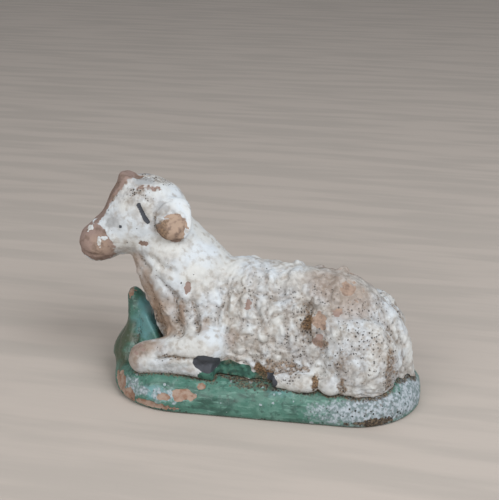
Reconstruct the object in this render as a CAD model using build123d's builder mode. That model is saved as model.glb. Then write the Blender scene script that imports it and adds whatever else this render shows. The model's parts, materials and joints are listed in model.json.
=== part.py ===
from build123d import *

import os
from math import acos, cos, degrees, radians, sin

# A lying sheep of painted terracotta on its green ground, as the clay pieces that it is luted from.
# The sheep lies along X with its head towards -X, its left side towards -Y and +Z up. The origin is the
# centre of the ground slab's underside. All sizes are in millimetres and all angles in degrees.

# Ground slab, an oval that narrows a little towards the rear and reaches past the trunk all round
slab_front_reach = 19.3
slab_rear_reach = 3.2
slab_front_shoulder = 5.8
slab_rear_shoulder = 3.3
slab_thickness = 9.0
slab_top_round = 7.0
slab_bottom_round = 1.0

# Trunk, a barrel with a domed chest and a domed rump, its heights measured above the slab
trunk_length = 57.5
trunk_half_width = 14.2
withers_height = 26.3
croup_height = 23.4
chest_dome_share = 0.2435
rump_dome_share = 0.3826

# Fleece locks on the trunk's sides: each row has its angles from the back at both ends and its number of locks
lock_radius = 2.1
lock_tip_radius = 1.6
lock_stand = 0.8
lock_front = 17.0
lock_spacing = 5.6
lock_stagger = 5.0
lock_sway = 0.9
lock_rows = ((14, 32, 5), (42, 60, 4), (68, 79, 2))

# Neck, from the breast up to the skull
neck_foot_behind_chest = 9.4
neck_lean = 22.0
neck_length = 37.0
breast_length = 17.0
throat_length = 28.0
breast_half_width = 12.2
breast_half_depth = 13.0
throat_ahead = 1.7
throat_half_width = 10.0
throat_half_depth = 10.7
nape_ahead = 2.6
nape_half_width = 7.4
nape_half_depth = 7.6

# Folds on the neck's sides: each has its rise along the neck and its angle round it, at both ends
fold_radius = 1.9
fold_tip_radius = 1.5
fold_stand = 0.7
neck_folds = ((28, 128, 17, 158), (27, 160, 19, 188))

# Head, along an axis that points down towards the nose
skull_above_nape = 3.7
skull_ahead = 3.4
head_droop = 31.0
head_turn = 18.0
head_length = 29.5
skull_half_width = 8.2
skull_half_height = 10.7
cheek_length = 4.0
muzzle_half_width = 5.2
muzzle_half_height = 5.0
muzzle_length = 4.0
poll_dome = 9.2
nose_dome = 5.0

# Ears, hanging pads with a dished face
ear_length = 10.8
ear_width = 7.8
ear_thickness = 3.6
ear_root_round = 2.6
ear_tip_round = 3.9
ear_splay = 36.0
left_ear_set_back = 7.7
right_ear_set_back = 5.6
ear_root_height = 1.2
ear_root_depth = 3.2
ear_dish_radius = 6.5
ear_dish_depth = 1.0

# Forelegs, folded at the knee with the hoof tucked back under the elbow
foreleg_ahead_of_chest = 7.5
foreleg_inset = 1.7
knee_radius = 4.0
knee_rise = 1.5
forearm_length = 17.4
forearm_slope = 18.4
elbow_radius = 5.0
cannon_length = 12.5
cannon_splay = 6.0
fetlock_radius = 2.6
fore_hoof_length = 6.3
fore_hoof_radius = 2.9

# Haunches, pads pressed on the sides of the rump
haunch_half_length = 10.4
haunch_half_height = 11.5
haunch_half_thickness = 7.0
haunch_stand_off = 2.4
haunch_ahead_of_rump = 12.3
haunch_rise = 5.2

# Hind feet, lying along the slab in front of the haunches
hock_ahead = 5.4
hock_radius = 3.0
hind_foot_inset = 2.6
hind_foot_rise = 0.8
pastern_gap = 5.2
pastern_length = 3.6
pastern_radius = 2.7
hind_hoof_length = 5.2
hind_hoof_radius = 2.6

# Tail, hanging down the rump, placed by shares of the rump's dome ahead of its end and of the croup's height
tail_radius = 3.2
tail_root_share = 0.3
tail_root_height_share = 0.5556
tail_bend_share = 0.118
tail_bend_height_share = 0.2778
tail_tip_share = 0.0545
tail_tip_sink = 1.4
tail_tip_radius = 3.0

# Grass mound in front of the breast, a broad foot drawn up to a leaf tip
mound_overhang = 0.5
mound_foot_half_length = 9.0
mound_foot_half_width = 10.5
mound_root_half_length = 6.5
mound_root_half_width = 8.5
mound_waist_height = 5.8
mound_waist_ahead = 1.3
mound_waist_half_length = 4.5
mound_waist_half_width = 5.4
mound_leaf_height = 11.5
mound_leaf_ahead = 3.2
mound_leaf_half_length = 2.5
mound_leaf_half_width = 2.9
mound_height = 14.4
mound_tip_ahead = 4.0
mound_tip_half_length = 0.8
mound_tip_half_width = 1.0
mound_shift = 1.5

# Sections of a domed end, as degrees round a quarter ellipse from the full section to the tip
dome_angles = (34, 62, 82)
# Sections of the straight middle of a form, as shares of its length
middle_shares = (0.0, 0.5, 1.0)

slab_length = slab_front_reach + trunk_length + slab_rear_reach
slab_front_radius = trunk_half_width + slab_front_shoulder
slab_rear_radius = trunk_half_width + slab_rear_shoulder
slab_front_x = -slab_length / 2
slab_rear_x = slab_length / 2
trunk_rear_x = slab_rear_x - slab_rear_reach
trunk_front_x = trunk_rear_x - trunk_length
chest_dome = trunk_length * chest_dome_share
rump_dome = trunk_length * rump_dome_share
bedding_plane = Plane.XY.offset(slab_thickness - slab_top_round)


def between(first, last, share):
    """Returns the value that lies a share of the way from the first to the last."""
    return first + (last - first) * share


def domed_stations(length, start_dome, end_dome):
    """Lists the sections of a straight form with a dome at both ends.

    Each is the distance along the form and the share of the full section that it has there.
    """
    start = [(start_dome * (1 - sin(radians(a))), cos(radians(a))) for a in reversed(dome_angles)]
    middle = [(between(start_dome, length - end_dome, s), 1.0) for s in middle_shares]
    end = [(length - end_dome * (1 - sin(radians(a))), cos(radians(a))) for a in dome_angles]
    return start + middle + end


def limb(start, end, start_radius, end_radius):
    """Makes a round tapered limb by turning its outline: two balls and the cone that touches both."""
    axis = (end - start).normalized()
    length = (end - start).length
    touch_angle = degrees(acos((start_radius - end_radius) / length))
    touch = Vector(cos(radians(touch_angle)), sin(radians(touch_angle)))
    end_centre = Vector(length, 0)
    with BuildPart() as form:
        with BuildSketch(Plane(origin=start, x_dir=axis, z_dir=axis.cross(Vector(0, 0, 1)))):
            with BuildLine():
                CenterArc((0, 0), start_radius, touch_angle, 180 - touch_angle)
                Line(touch * start_radius, end_centre + touch * end_radius)
                CenterArc(end_centre, end_radius, 0, touch_angle)
                Line((length + end_radius, 0), (-start_radius, 0))
            make_face()
        revolve(axis=Axis(start, axis))
    return form.part


def lock_place(distance, angle, sink):
    """Returns a place under the trunk's left side, a distance behind the chest and an angle from the back."""
    height = between(withers_height, croup_height, distance / trunk_length) - sink
    side = (sink - trunk_half_width) * sin(radians(angle))
    return Vector(trunk_front_x + distance, side, slab_thickness + height * cos(radians(angle)))


def fold_place(rise, angle, sink):
    """Returns a place under the neck's side between the breast and the throat, at an angle round it."""
    share = max((rise - breast_length) / (throat_length - breast_length), 0)
    half_width = between(breast_half_width, throat_half_width, share) - sink
    half_depth = between(breast_half_depth, throat_half_depth, share) - sink
    ahead = throat_ahead * share + half_depth * sin(radians(angle))
    return neck_foot + neck_axis * rise + neck_front * ahead + Vector(0, half_width * cos(radians(angle)), 0)


def ear_placing(side, set_back):
    """Returns an ear's section planes, each with its share of the full section, and its dish's centre.

    The side is the direction out of the head that the ear is on, and it is set back from the skull's centre.
    """
    axis = side * sin(radians(ear_splay)) - Vector(0, 0, cos(radians(ear_splay)))
    outward = side * cos(radians(ear_splay)) + Vector(0, 0, sin(radians(ear_splay)))
    root = skull_centre - head_axis * set_back + head_up * ear_root_height
    root += side * (skull_half_width - ear_root_depth)
    planes = []
    for distance, share in domed_stations(ear_length, ear_root_round, ear_tip_round):
        planes.append((Plane(origin=root + axis * distance, x_dir=head_ahead, z_dir=axis), share))
    dish_centre = root + axis * (ear_length / 2)
    dish_centre += outward * (ear_thickness / 2 + ear_dish_radius - ear_dish_depth)
    return planes, dish_centre


# Slab: the hull of a large round in front and a smaller one behind, with a broad shoulder all round
with BuildPart() as ground_slab:
    with BuildSketch():
        with Locations((slab_front_x + slab_front_radius, 0)):
            Circle(slab_front_radius)
        with Locations((slab_rear_x - slab_rear_radius, 0)):
            Circle(slab_rear_radius)
        make_hull()
    extrude(amount=slab_thickness)
    fillet(ground_slab.edges().group_by(Axis.Z)[-1], radius=slab_top_round)
    fillet(ground_slab.edges().group_by(Axis.Z)[0], radius=slab_bottom_round)
ground_slab.part.label = "ground_slab"

# Each piece is first rolled or pressed to its whole form, and then bedded: cut where it lies on the slab
# and where it takes the imprint of the pieces that it is pressed against.

# Trunk: upright ellipses along X, with rolls of clay pressed on its sides for the main locks of the fleece
with BuildPart() as trunk_form:
    for distance, share in domed_stations(trunk_length, chest_dome, rump_dome):
        height = between(withers_height, croup_height, distance / trunk_length)
        with BuildSketch(Plane.YZ.offset(trunk_front_x + distance)):
            with Locations((0, slab_thickness)):
                Ellipse(trunk_half_width * share, height * share)
    loft()

left_locks = []
for upper_angle, lower_angle, lock_count in lock_rows:
    for column in range(lock_count):
        distance = lock_front + column * lock_spacing
        lower_distance = distance + lock_sway * (column % 2)
        stagger = lock_stagger * (column % 2)
        upper = lock_place(distance, upper_angle + stagger, lock_radius - lock_stand)
        lower = lock_place(lower_distance, lower_angle + stagger, lock_tip_radius - lock_stand)
        left_locks.append(limb(upper, lower, lock_radius, lock_tip_radius))

with BuildPart() as trunk:
    add(trunk_form.part)
    for lock in left_locks:
        add(lock)
        mirror(lock, about=Plane.XZ)
    split(bisect_by=bedding_plane, keep=Keep.TOP)
    add(ground_slab.part, mode=Mode.SUBTRACT)
trunk.part.label = "trunk"

# Head: one loft from the poll over the skull and the tapering face to the nose
neck_foot = Vector(trunk_front_x + neck_foot_behind_chest, 0, slab_thickness)
neck_axis = Vector(-sin(radians(neck_lean)), 0, cos(radians(neck_lean)))
neck_front = Vector(-cos(radians(neck_lean)), 0, -sin(radians(neck_lean)))
skull_centre = neck_foot + neck_axis * (neck_length + skull_above_nape) + neck_front * skull_ahead
head_ahead = Vector(-cos(radians(head_turn)), -sin(radians(head_turn)), 0)
head_left = Vector(sin(radians(head_turn)), -cos(radians(head_turn)), 0)
head_axis = head_ahead * cos(radians(head_droop)) - Vector(0, 0, sin(radians(head_droop)))
head_up = head_axis.cross(head_left)
poll = skull_centre - head_axis * poll_dome
face_start = poll_dome + cheek_length
face_end = head_length - nose_dome - muzzle_length

with BuildPart() as head:
    for distance, share in domed_stations(head_length, poll_dome, nose_dome):
        face_share = min(max((distance - face_start) / (face_end - face_start), 0), 1)
        half_width = between(skull_half_width, muzzle_half_width, face_share) * share
        half_height = between(skull_half_height, muzzle_half_height, face_share) * share
        with BuildSketch(Plane(origin=poll + head_axis * distance, x_dir=head_left, z_dir=head_axis)):
            Ellipse(half_width, half_height)
    loft()
head.part.label = "head"

# Neck: from the breast to the nape, hollowed where the head sits in it and where it clasps the chest
neck_sections = (
    (0, 0, breast_half_width, breast_half_depth),
    (breast_length, 0, breast_half_width, breast_half_depth),
    (throat_length, throat_ahead, throat_half_width, throat_half_depth),
    (neck_length, nape_ahead, nape_half_width, nape_half_depth),
)
with BuildPart() as neck_form:
    for distance, ahead, half_width, half_depth in neck_sections:
        centre = neck_foot + neck_axis * distance + neck_front * ahead
        with BuildSketch(Plane(origin=centre, x_dir=(0, 1, 0), z_dir=neck_axis)):
            Ellipse(half_width, half_depth)
    loft()

left_folds = []
for upper_rise, upper_angle, lower_rise, lower_angle in neck_folds:
    upper = fold_place(upper_rise, upper_angle, fold_radius - fold_stand)
    lower = fold_place(lower_rise, lower_angle, fold_tip_radius - fold_stand)
    left_folds.append(limb(upper, lower, fold_radius, fold_tip_radius))

with BuildPart() as neck:
    add(neck_form.part)
    for fold in left_folds:
        add(fold)
        mirror(fold, about=Plane.XZ)
    split(bisect_by=bedding_plane, keep=Keep.TOP)
    add(ground_slab.part, mode=Mode.SUBTRACT)
    add(trunk_form.part, mode=Mode.SUBTRACT)
    add(head.part, mode=Mode.SUBTRACT)
neck.part.label = "neck"

# Left ear: a dished pad that hangs from the back of the skull and stands off it towards the tip
left_ear_planes, left_ear_dish = ear_placing(head_left, left_ear_set_back)
with BuildPart() as left_ear:
    for plane, share in left_ear_planes:
        with BuildSketch(plane):
            Ellipse(ear_width / 2 * share, ear_thickness / 2 * share)
    loft()
    with Locations(left_ear_dish):
        Sphere(ear_dish_radius, mode=Mode.SUBTRACT)
    add(head.part, mode=Mode.SUBTRACT)
    add(neck_form.part, mode=Mode.SUBTRACT)
left_ear.part.label = "left_ear"

# Right ear: the same pad on the other side of the turned head, set less far back
right_ear_planes, right_ear_dish = ear_placing(head_left * -1, right_ear_set_back)
with BuildPart() as right_ear:
    for plane, share in right_ear_planes:
        with BuildSketch(plane):
            Ellipse(ear_width / 2 * share, ear_thickness / 2 * share)
    loft()
    with Locations(right_ear_dish):
        Sphere(ear_dish_radius, mode=Mode.SUBTRACT)
    add(head.part, mode=Mode.SUBTRACT)
    add(neck_form.part, mode=Mode.SUBTRACT)
right_ear.part.label = "right_ear"

# Left foreleg: forearm, folded cannon and hoof in one roll of clay
knee_y = foreleg_inset - trunk_half_width
knee = Vector(trunk_front_x - foreleg_ahead_of_chest, knee_y, slab_thickness + knee_rise)
elbow = knee + Vector(cos(radians(forearm_slope)), 0, sin(radians(forearm_slope))) * forearm_length
cannon_axis = Vector(cos(radians(cannon_splay)), -sin(radians(cannon_splay)), 0)
fetlock = knee + cannon_axis * cannon_length
fore_hoof_end = fetlock + cannon_axis * fore_hoof_length
left_forearm = limb(elbow, knee, elbow_radius, knee_radius)
left_cannon = limb(knee, fetlock, knee_radius, fetlock_radius)
with BuildPart() as left_foreleg_form:
    add(left_forearm)
    add(left_cannon)
    for point, radius in ((fetlock, fetlock_radius), (fore_hoof_end, fore_hoof_radius)):
        with BuildSketch(Plane(origin=point, z_dir=cannon_axis)):
            Circle(radius)
    loft()

with BuildPart() as left_foreleg:
    add(left_foreleg_form.part)
    split(bisect_by=bedding_plane, keep=Keep.TOP)
    add(ground_slab.part, mode=Mode.SUBTRACT)
    add(trunk_form.part, mode=Mode.SUBTRACT)
    add(neck_form.part, mode=Mode.SUBTRACT)
left_foreleg.part.label = "left_foreleg"

# Left haunch: a pad pressed on the side of the rump
haunch_x = trunk_rear_x - haunch_ahead_of_rump
haunch_face_y = -trunk_half_width - haunch_stand_off
with BuildPart() as left_haunch_form:
    for distance, share in domed_stations(2 * haunch_half_length, haunch_half_length, haunch_half_length):
        with BuildSketch(Plane.YZ.offset(haunch_x - haunch_half_length + distance)):
            with Locations((haunch_face_y + haunch_half_thickness, slab_thickness + haunch_rise)):
                Ellipse(haunch_half_thickness * share, haunch_half_height * share)
    loft()

with BuildPart() as left_haunch:
    add(left_haunch_form.part)
    split(bisect_by=bedding_plane, keep=Keep.TOP)
    add(ground_slab.part, mode=Mode.SUBTRACT)
    add(trunk_form.part, mode=Mode.SUBTRACT)
left_haunch.part.label = "left_haunch"

# Left hind foot: hock, pastern and hoof in a row along the slab
hock = Vector(haunch_x - hock_ahead, haunch_face_y + hind_foot_inset, slab_thickness + hind_foot_rise)
pastern = hock - Vector(pastern_gap, 0, 0)
hind_fetlock = pastern - Vector(pastern_length, 0, 0)
hind_hoof_end = hind_fetlock - Vector(hind_hoof_length, 0, 0)
left_pastern = limb(pastern, hind_fetlock, pastern_radius, pastern_radius)
with BuildPart() as left_hind_foot:
    with Locations(hock):
        Sphere(hock_radius)
    add(left_pastern)
    for point, radius in ((hind_fetlock, pastern_radius), (hind_hoof_end, hind_hoof_radius)):
        with BuildSketch(Plane(origin=point, z_dir=(-1, 0, 0))):
            Circle(radius)
    loft()
    split(bisect_by=bedding_plane, keep=Keep.TOP)
    add(ground_slab.part, mode=Mode.SUBTRACT)
    add(trunk_form.part, mode=Mode.SUBTRACT)
    add(left_haunch_form.part, mode=Mode.SUBTRACT)
left_hind_foot.part.label = "left_hind_foot"

# Tail: a roll that bends down the rump and ends on the slab's shoulder
tail_root_x = trunk_rear_x - rump_dome * tail_root_share
tail_bend_x = trunk_rear_x - rump_dome * tail_bend_share
tail_tip_x = trunk_rear_x - rump_dome * tail_tip_share
tail_root = Vector(tail_root_x, 0, slab_thickness + croup_height * tail_root_height_share)
tail_bend = Vector(tail_bend_x, 0, slab_thickness + croup_height * tail_bend_height_share)
tail_tip = Vector(tail_tip_x, 0, slab_thickness - tail_tip_sink)
upper_tail = limb(tail_root, tail_bend, tail_radius, tail_radius)
lower_tail = limb(tail_bend, tail_tip, tail_radius, tail_tip_radius)
with BuildPart() as tail:
    add(upper_tail)
    add(lower_tail)
    split(bisect_by=bedding_plane, keep=Keep.TOP)
    add(ground_slab.part, mode=Mode.SUBTRACT)
    add(trunk_form.part, mode=Mode.SUBTRACT)
tail.part.label = "tail"

# Right-hand pieces: mirror images of the left-hand ones
with BuildPart() as right_foreleg_form:
    mirror(left_foreleg_form.part, about=Plane.XZ)

with BuildPart() as right_foreleg:
    mirror(left_foreleg.part, about=Plane.XZ)
right_foreleg.part.label = "right_foreleg"

with BuildPart() as right_haunch:
    mirror(left_haunch.part, about=Plane.XZ)
right_haunch.part.label = "right_haunch"

with BuildPart() as right_hind_foot:
    mirror(left_hind_foot.part, about=Plane.XZ)
right_hind_foot.part.label = "right_hind_foot"

# Grass mound: ovals drawn up from the slab's front to a leaning leaf tip, pressed against the breast
mound_x = slab_front_x - mound_overhang + mound_foot_half_length
mound_sections = (
    (-slab_top_round, 0, mound_root_half_length, mound_root_half_width),
    (0, 0, mound_foot_half_length, mound_foot_half_width),
    (mound_waist_height, mound_waist_ahead, mound_waist_half_length, mound_waist_half_width),
    (mound_leaf_height, mound_leaf_ahead, mound_leaf_half_length, mound_leaf_half_width),
    (mound_height, mound_tip_ahead, mound_tip_half_length, mound_tip_half_width),
)
with BuildPart() as grass_mound:
    for height, ahead, half_length, half_width in mound_sections:
        with BuildSketch(Plane.XY.offset(slab_thickness + height)):
            with Locations((mound_x - ahead, mound_shift)):
                Ellipse(half_length, half_width)
    loft()
    add(ground_slab.part, mode=Mode.SUBTRACT)
    add(trunk_form.part, mode=Mode.SUBTRACT)
    add(neck_form.part, mode=Mode.SUBTRACT)
    add(left_foreleg_form.part, mode=Mode.SUBTRACT)
    add(right_foreleg_form.part, mode=Mode.SUBTRACT)
grass_mound.part.label = "grass_mound"

os.makedirs("parts", exist_ok=True)
for piece in (
    ground_slab,
    trunk,
    head,
    neck,
    left_ear,
    right_ear,
    left_foreleg,
    right_foreleg,
    left_haunch,
    right_haunch,
    left_hind_foot,
    right_hind_foot,
    tail,
    grass_mound,
):
    export_step(piece.part, f"parts/{piece.part.label}.step")
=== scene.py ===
import json
import logging
import math
from dataclasses import dataclass, field
from enum import Enum
from itertools import product

import bpy
import numpy as np
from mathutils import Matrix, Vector
from mathutils.bvhtree import BVHTree

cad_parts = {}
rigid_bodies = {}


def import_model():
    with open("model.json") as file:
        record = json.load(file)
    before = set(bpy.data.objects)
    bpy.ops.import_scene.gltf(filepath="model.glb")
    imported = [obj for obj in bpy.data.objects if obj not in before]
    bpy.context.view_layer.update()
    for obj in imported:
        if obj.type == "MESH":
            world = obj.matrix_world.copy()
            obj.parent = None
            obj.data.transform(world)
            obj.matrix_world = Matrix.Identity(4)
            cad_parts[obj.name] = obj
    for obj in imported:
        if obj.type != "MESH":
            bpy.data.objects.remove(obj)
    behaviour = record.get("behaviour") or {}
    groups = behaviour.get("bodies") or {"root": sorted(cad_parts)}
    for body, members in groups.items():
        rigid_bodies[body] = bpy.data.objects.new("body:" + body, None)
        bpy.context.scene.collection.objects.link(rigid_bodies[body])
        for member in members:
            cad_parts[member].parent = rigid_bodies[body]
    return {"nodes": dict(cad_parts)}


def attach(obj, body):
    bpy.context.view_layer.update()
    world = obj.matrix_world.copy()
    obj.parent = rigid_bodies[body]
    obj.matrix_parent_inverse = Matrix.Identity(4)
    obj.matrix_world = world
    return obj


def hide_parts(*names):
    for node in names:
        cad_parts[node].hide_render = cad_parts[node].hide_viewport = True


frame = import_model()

LOG = logging.getLogger("sheep_figurine")
MM = 0.001
Point = tuple[float, float, float]
Colour = tuple[float, float, float, float]
Layers = tuple[tuple[float, float, int], ...]
GROUND_NODES = ("ground_slab", "grass_mound")
HASH_FACTORS = (374761393, 668265263, 1442695041)
HASH_SEED = 982451653
HASH_MIX = 1274126177
CELL_MARGIN = 0.1
CELL_JITTER = 0.8
CHIP_GRAIN = 1.3
CHIP_RAGGED = 0.25
CHIP_START = 0.45
CHIP_FULL = 0.6


class Coat(Enum):
    """The record's material slots."""

    WHITE = "white_paint"
    GREEN = "green_paint"


# Noise for the hand-worked clay


def hashed(cells: np.ndarray, seed: int) -> np.ndarray:
    """Gives every lattice cell its own repeatable value.

    Args:
        cells: whole-number cell places, one row each.
        seed: number of the series.

    Returns:
        Values from 0 to 1.
    """
    mixed = cells @ np.array(HASH_FACTORS) + seed * HASH_SEED
    mixed = (mixed ^ (mixed >> 13)) * HASH_MIX
    mixed = mixed ^ (mixed >> 16)
    return (mixed & 0xFFFF) / 65535.0


def lumps(points: np.ndarray, size: float, seed: int) -> np.ndarray:
    """Smooth noise.

    Args:
        points: places in millimetres, one row each.
        size: distance over which the noise changes.
        seed: number of the series.

    Returns:
        Values from -1 to 1.
    """
    scaled = points / size
    base = np.floor(scaled).astype(np.int64)
    part = scaled - base
    part = part * part * (3 - 2 * part)
    total = np.zeros(len(points))
    for corner in product((0, 1), repeat=3):
        step = np.array(corner)
        weight = np.prod(np.where(step == 1, part, 1 - part), axis=1)
        total += weight * hashed(base + step, seed)
    return total * 2 - 1


def tufts(points: np.ndarray, size: Point, seed: int) -> tuple[np.ndarray, np.ndarray]:
    """Scattered cells, for tufts of fleece that lie side by side.

    Args:
        points: places in millimetres, one row each.
        size: length of a cell along X, Y and Z.
        seed: number of the series.

    Returns:
        The distances to the nearest and to the second nearest cell centre, in cells.
    """
    scaled = points / np.array(size)
    base = np.floor(scaled).astype(np.int64)
    nearest = np.full(len(points), np.inf)
    second = np.full(len(points), np.inf)
    for offset in product((-1, 0, 1), repeat=3):
        cell = base + np.array(offset)
        jitter = np.stack([hashed(cell, seed + axis) for axis in range(3)], axis=1)
        distance = np.linalg.norm(scaled - cell - CELL_MARGIN - CELL_JITTER * jitter, axis=1)
        second = np.minimum(second, np.maximum(nearest, distance))
        nearest = np.minimum(nearest, distance)
    return nearest, second


def ramp(values: np.ndarray, low: float, high: float) -> np.ndarray:
    """Eases values from 0 at low to 1 at high, whichever of the two is larger."""
    share = np.clip((values - low) / (high - low), 0, 1)
    return share * share * (3 - 2 * share)


def layered(layers: Layers, points: np.ndarray) -> np.ndarray:
    """Adds up layers of smooth noise.

    Args:
        layers: height, size and series number of each.
        points: places in millimetres, one row each.

    Returns:
        The sum for each point.
    """
    total = np.zeros(len(points))
    for height, size, seed in layers:
        total += height * lumps(points, size, seed)
    return total


def chipped(worn: np.ndarray, points: np.ndarray, seed: int) -> np.ndarray:
    """Tells from 0 to 1 how far the paint has chipped off at each point, with ragged edges."""
    return ramp(worn + CHIP_RAGGED * lumps(points, CHIP_GRAIN, seed), CHIP_START, CHIP_FULL)


# Marks and strokes, placed in millimetres in the frame


@dataclass(frozen=True)
class Mark:
    """A ragged spot of wear, dirt, paint, painted shade or painted light.

    Attributes:
        at: its middle.
        size: its half lengths along X, Y and Z.
        strength: how strong it is in the middle.
        ragged: how uneven its edge is.
        soft: how wide its edge is.
    """

    at: Point
    size: Point
    strength: float = 1.0
    ragged: float = 0.3
    soft: float = 0.25

    def cover(self, points: np.ndarray) -> np.ndarray:
        """Tells how strongly each point is covered.

        Args:
            points: places in millimetres, one row each.

        Returns:
            Values from 0 to the mark's strength.
        """
        away = (points - np.array(self.at)) / np.array(self.size)
        edge = np.linalg.norm(away, axis=1)
        near = np.flatnonzero(edge < 1 + self.soft + 2 * self.ragged)
        close = points[near]
        grain = min(self.size)
        coarse = lumps(close, grain * 0.8, 11)
        fine = lumps(close, grain * 0.35, 12)
        edge[near] += self.ragged * coarse + self.ragged * 0.5 * fine
        return self.strength * ramp(edge, 1 + self.soft, 1 - self.soft)


@dataclass(frozen=True)
class Stroke:
    """A tool's stroke along a path, which raises or presses in the clay.

    Attributes:
        path: the points that it passes.
        width: half its width.
        depth: how far it moves the clay, negative where it presses in.
    """

    path: tuple[Point, ...]
    width: float
    depth: float = 0.0

    def nearness(self, points: np.ndarray) -> np.ndarray:
        """Tells how near the stroke's middle each point is.

        Args:
            points: places in millimetres, one row each.

        Returns:
            Values from 0 far from it to 1 on it.
        """
        least = np.full(len(points), np.inf)
        for start, end in zip(self.path, self.path[1:]):
            first = np.array(start)
            run = np.array(end) - first
            share = np.clip((points - first) @ run / (run @ run), 0, 1)
            least = np.minimum(least, np.linalg.norm(points - first - share[:, None] * run, axis=1))
        return np.exp(-((least / self.width) ** 2))

    def relief(self, points: np.ndarray) -> np.ndarray:
        """Returns the movement of each point in millimetres."""
        return self.depth * self.nearness(points)


def covered(marks: tuple[Mark, ...], points: np.ndarray) -> np.ndarray:
    """Returns the strongest cover that any of the marks gives each point."""
    total = np.zeros(len(points))
    for mark in marks:
        total = np.maximum(total, mark.cover(points))
    return total


def pressed(strokes: tuple[Stroke, ...], points: np.ndarray) -> np.ndarray:
    """Returns the movement in millimetres that all the strokes give each point."""
    total = np.zeros(len(points))
    for stroke in strokes:
        total += stroke.relief(points)
    return total


# The CAD nodes' surfaces


def surface(nodes: tuple[str, ...]) -> tuple[BVHTree, np.ndarray]:
    """Gathers the faces of CAD nodes for finding what is nearest.

    Args:
        nodes: the nodes' names.

    Returns:
        The tree of all their faces, and the number of the node that each face belongs to.
    """
    corners = []
    faces = []
    owners = []
    for index, node in enumerate(nodes):
        mesh = frame["nodes"][node].data
        start = len(corners)
        corners.extend(vertex.co.copy() for vertex in mesh.vertices)
        faces.extend([start + corner for corner in face.vertices] for face in mesh.polygons)
        owners.extend([index] * len(mesh.polygons))
    return BVHTree.FromPolygons(corners, faces), np.array(owners)


def closeness(points: np.ndarray, nodes: tuple[str, ...], reach: float) -> np.ndarray:
    """Tells how close each point is to CAD nodes.

    Args:
        points: places in millimetres, one row each.
        nodes: the nodes' names.
        reach: the distance in millimetres from which on it counts.

    Returns:
        Values from 0 at the reach to 1 on the nodes.
    """
    tree = surface(nodes)[0]
    away = np.array([tree.find_nearest(Vector(point) * MM)[3] for point in points]) / MM
    return ramp(away, reach, 0.0)


# Skins: clay pieces pressed together, worked, and parted again at their joints


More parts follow.
